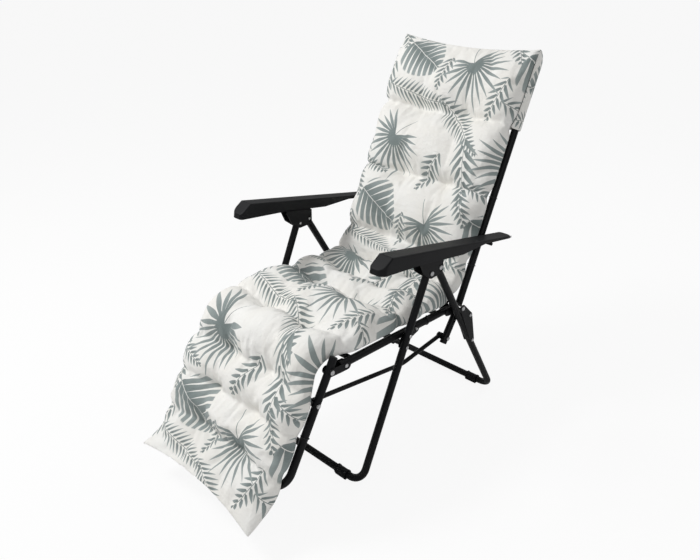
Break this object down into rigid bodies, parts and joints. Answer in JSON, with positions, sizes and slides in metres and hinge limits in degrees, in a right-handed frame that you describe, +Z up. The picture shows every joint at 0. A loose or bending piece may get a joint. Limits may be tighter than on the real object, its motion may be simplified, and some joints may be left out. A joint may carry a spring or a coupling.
{
  "type": "reclining garden armchair",
  "caption": "Folding garden armchair with a black tubular frame, a reclining back linked to a leg rest, notched armrests and a tufted leaf-print mat.",
  "frame": {"origin": "on the floor, at the middle of the whole chair's width and depth", "axes": "+X to the sitter's left, -Y to the front (the leg rest's end), +Z up"},
  "size_m": [0.6, 1.1792, 1.1417],
  "materials": {
    "frame_paint": "satin black powder coat",
    "bracket_paint": "satin black powder coat on pressed sheet",
    "black_plastic": "moulded, fine grain",
    "zinc_steel": "zinc plated",
    "mat_fabric": "off-white woven cotton with a grey-green leaf print",
    "elastic": "braided elastic cord"
  },
  "bodies": {
    "seat_frame": {"seat_tube_left": "frame_paint", "seat_tube_right": "frame_paint", "seat_crossbar_front": "frame_paint", "seat_crossbar_rear": "frame_paint", "front_hinge_fork_left": "bracket_paint", "front_hinge_fork_right": "bracket_paint", "rear_hinge_fork_left": "bracket_paint", "rear_hinge_fork_right": "bracket_paint", "hinge_fork_rivets": "zinc_steel", "hook_studs": "zinc_steel", "cushion_hip_fold": "mat_fabric", "cushion_seat": "mat_fabric", "cushion_knee_fold": "mat_fabric", "mat_ties_seat": "elastic", "mat_clips_seat": "black_plastic"},
    "back_frame": {"back_tube": "frame_paint", "back_end_plugs": "black_plastic", "back_pivot_pins": "zinc_steel", "armrest_pegs": "frame_paint", "cushion_headrest": "mat_fabric", "cushion_back": "mat_fabric", "mat_ties_back": "elastic", "mat_clips_back": "black_plastic"},
    "leg_rest": {"leg_rest_tube": "frame_paint", "leg_rest_plugs": "black_plastic", "leg_rest_pivot_pins": "zinc_steel", "strut_front_bolts": "zinc_steel", "cushion_leg_rest": "mat_fabric", "mat_ties_leg_rest": "elastic", "mat_clips_leg_rest": "black_plastic"},
    "struts": {"strut_left": "frame_paint", "strut_right": "frame_paint", "strut_bushes": "black_plastic", "strut_heel_bolts": "zinc_steel"},
    "rear_leg_frame": {"rear_leg_tube": "frame_paint", "leg_top_plugs_rear": "black_plastic", "foot_sleeves_rear": "black_plastic", "boot_bracket_left": "bracket_paint", "boot_bracket_right": "bracket_paint", "boot_rivets": "zinc_steel", "rear_leg_pivot_pins": "zinc_steel"},
    "front_leg_frame": {"front_leg_tube": "frame_paint", "leg_top_plugs_front": "black_plastic", "foot_sleeves_front": "black_plastic", "hook_bracket_left": "bracket_paint", "hook_bracket_right": "bracket_paint", "hook_rivets": "zinc_steel", "leg_yoke_left": "bracket_paint", "leg_yoke_right": "bracket_paint", "armrest_pivot_bolts": "zinc_steel", "leg_join_pins": "zinc_steel"},
    "armrest_left": {"armrest_left": "black_plastic", "armrest_bracket_left": "bracket_paint", "armrest_screws_left": "zinc_steel", "notched_rail_left": "black_plastic"},
    "armrest_right": {"armrest_right": "black_plastic", "armrest_bracket_right": "bracket_paint", "armrest_screws_right": "zinc_steel", "notched_rail_right": "black_plastic"}
  },
  "joints": [
    {"name": "recline", "type": "hinge", "parent": "seat_frame", "child": "back_frame", "pos_m": [0, 0.2387, 0.395], "axis": [-1, 0, 0], "range_deg": [-45, 22], "deforming": ["cushion_hip_fold"]},
    {"name": "legrest_hinge", "type": "hinge", "parent": "seat_frame", "child": "leg_rest", "pos_m": [0, -0.32249, 0.43905], "axis": [-1, 0, 0], "range_deg": [-48.5, 24], "deforming": ["cushion_knee_fold"]},
    {"name": "strut_hinge", "type": "hinge", "parent": "back_frame", "child": "struts", "pos_m": [0, 0.18266, 0.31097], "axis": [-1, 0, 0], "range_deg": [-23, 46]},
    {"name": "fold", "type": "hinge", "parent": "seat_frame", "child": "rear_leg_frame", "pos_m": [0, 0.2077, 0.419], "axis": [1, 0, 0], "range_deg": [0, 57]},
    {"name": "front_leg_hinge", "type": "hinge", "parent": "rear_leg_frame", "child": "front_leg_frame", "pos_m": [0, 0.0777, 0.6045], "axis": [1, 0, 0], "range_deg": [0, 56]},
    {"name": "armrest_left_hinge", "type": "hinge", "parent": "front_leg_frame", "child": "armrest_left", "pos_m": [0, 0.0377, 0.6], "axis": [-1, 0, 0], "range_deg": [-10.2, 5.2]},
    {"name": "armrest_right_hinge", "type": "hinge", "parent": "front_leg_frame", "child": "armrest_right", "pos_m": [0, 0.0377, 0.6], "axis": [-1, 0, 0], "range_deg": [-10.2, 5.2]}
  ],
  "couplings": [
    {"joint": "legrest_hinge", "follows": "recline", "ratio": 1.062},
    {"joint": "strut_hinge", "follows": "recline", "ratio": -1.007},
    {"joint": "front_leg_hinge", "follows": "fold", "ratio": 0.972},
    {"joint": "armrest_left_hinge", "follows": "recline", "ratio": 0.22},
    {"joint": "armrest_right_hinge", "follows": "recline", "ratio": 0.22}
  ]
}
